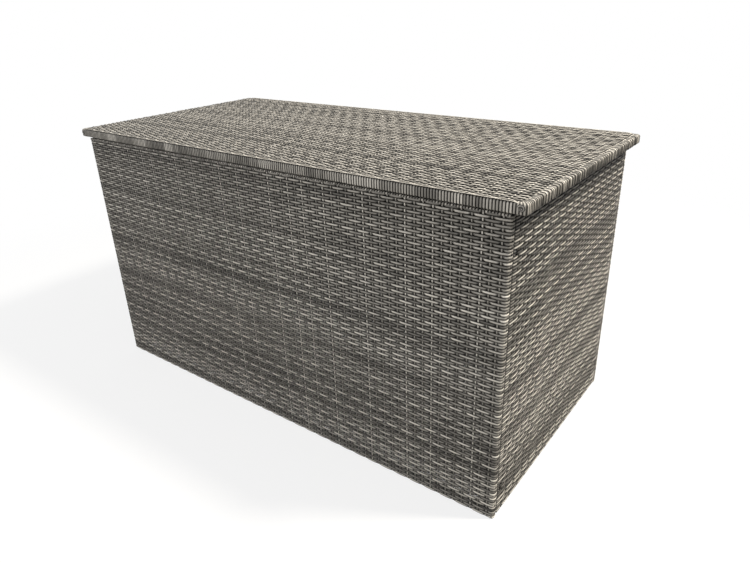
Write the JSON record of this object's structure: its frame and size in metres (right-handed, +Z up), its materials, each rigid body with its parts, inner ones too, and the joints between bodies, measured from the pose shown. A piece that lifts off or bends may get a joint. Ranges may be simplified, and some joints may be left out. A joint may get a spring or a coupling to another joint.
{
  "type": "rattan storage box",
  "caption": "Woven rattan-look storage box with a tube frame, a hinged lid and gas struts, for garden cushions.",
  "frame": {"origin": "on the ground below the middle of the closed box's bounding box", "axes": "+X right along the front, +Y from the front to the back, +Z up"},
  "size_m": [1.516, 0.725, 0.7955],
  "materials": {
    "woven_strand": "satin",
    "frame_tube": "satin",
    "hinge_steel": "satin",
    "zinc_screw": "satin",
    "black_plastic": "matte",
    "buffer_rubber": "matte",
    "cylinder_paint": "gloss",
    "rod_chrome": "polished"
  },
  "bodies": {
    "box": {"box_screws": "zinc_screw", "corner_tabs": "frame_tube", "floor_bearers": "frame_tube", "floor_weave": "woven_strand", "foot_glides": "black_plastic", "front_bottom_rail": "frame_tube", "front_left_post": "frame_tube", "front_right_post": "frame_tube", "front_top_rail": "frame_tube", "front_uprights": "frame_tube", "front_weave": "woven_strand", "hinge_pins": "hinge_steel", "left_bottom_rail": "frame_tube", "left_front_stile": "frame_tube", "left_hinge_box_leaf": "hinge_steel", "left_rear_stile": "frame_tube", "left_top_rail": "frame_tube", "left_weave": "woven_strand", "lower_ball_studs": "rod_chrome", "middle_hinge_box_leaf": "hinge_steel", "panel_bolts": "zinc_screw", "rear_bottom_rail": "frame_tube", "rear_left_post": "frame_tube", "rear_right_post": "frame_tube", "rear_top_rail": "frame_tube", "rear_uprights": "frame_tube", "rear_weave": "woven_strand", "right_bottom_rail": "frame_tube", "right_front_stile": "frame_tube", "right_hinge_box_leaf": "hinge_steel", "right_rear_stile": "frame_tube", "right_top_rail": "frame_tube", "right_weave": "woven_strand", "side_uprights": "frame_tube"},
    "lid": {"lid_front_rail": "frame_tube", "lid_rear_rail": "frame_tube", "lid_left_rail": "frame_tube", "lid_right_rail": "frame_tube", "lid_cross_bars": "frame_tube", "lid_weave": "woven_strand", "lid_front_wrap": "woven_strand", "lid_rear_wrap": "woven_strand", "lid_side_wraps": "woven_strand", "lid_corner_knots": "woven_strand", "left_hinge_lid_leaf": "hinge_steel", "middle_hinge_lid_leaf": "hinge_steel", "right_hinge_lid_leaf": "hinge_steel", "lid_screws": "zinc_screw", "lid_bumpers": "buffer_rubber", "left_upper_bracket": "hinge_steel", "right_upper_bracket": "hinge_steel", "upper_ball_studs": "rod_chrome"},
    "left_cylinder": {"left_strut_cylinder": "cylinder_paint", "left_cylinder_socket": "black_plastic"},
    "left_rod": {"left_strut_rod": "rod_chrome", "left_rod_socket": "black_plastic"},
    "right_cylinder": {"right_strut_cylinder": "cylinder_paint", "right_cylinder_socket": "black_plastic"},
    "right_rod": {"right_strut_rod": "rod_chrome", "right_rod_socket": "black_plastic"}
  },
  "joints": [
    {"name": "lid_hinge", "type": "hinge", "parent": "box", "child": "lid", "pos_m": [0, 0.3593, 0.7695], "axis": [-1, 0, 0], "range_deg": [0, 72]},
    {"name": "left_cylinder_swing", "type": "hinge", "parent": "box", "child": "left_cylinder", "pos_m": [-0.694, 0.334, 0.52078], "axis": [-1, 0, 0], "range_deg": [0, 36]},
    {"name": "left_rod_swing", "type": "hinge", "parent": "lid", "child": "left_rod", "pos_m": [-0.694, 0.1101, 0.7495], "axis": [-1, 0, 0], "range_deg": [-36, 0]},
    {"name": "right_cylinder_swing", "type": "hinge", "parent": "box", "child": "right_cylinder", "pos_m": [0.694, 0.334, 0.52078], "axis": [-1, 0, 0], "range_deg": [0, 36]},
    {"name": "right_rod_swing", "type": "hinge", "parent": "lid", "child": "right_rod", "pos_m": [0.694, 0.1101, 0.7495], "axis": [-1, 0, 0], "range_deg": [-36, 0]}
  ],
  "couplings": [
    {"joint": "left_cylinder_swing", "follows": "lid_hinge", "ratio": 0.5},
    {"joint": "left_rod_swing", "follows": "lid_hinge", "ratio": -0.5},
    {"joint": "right_cylinder_swing", "follows": "lid_hinge", "ratio": 0.5},
    {"joint": "right_rod_swing", "follows": "lid_hinge", "ratio": -0.5}
  ]
}
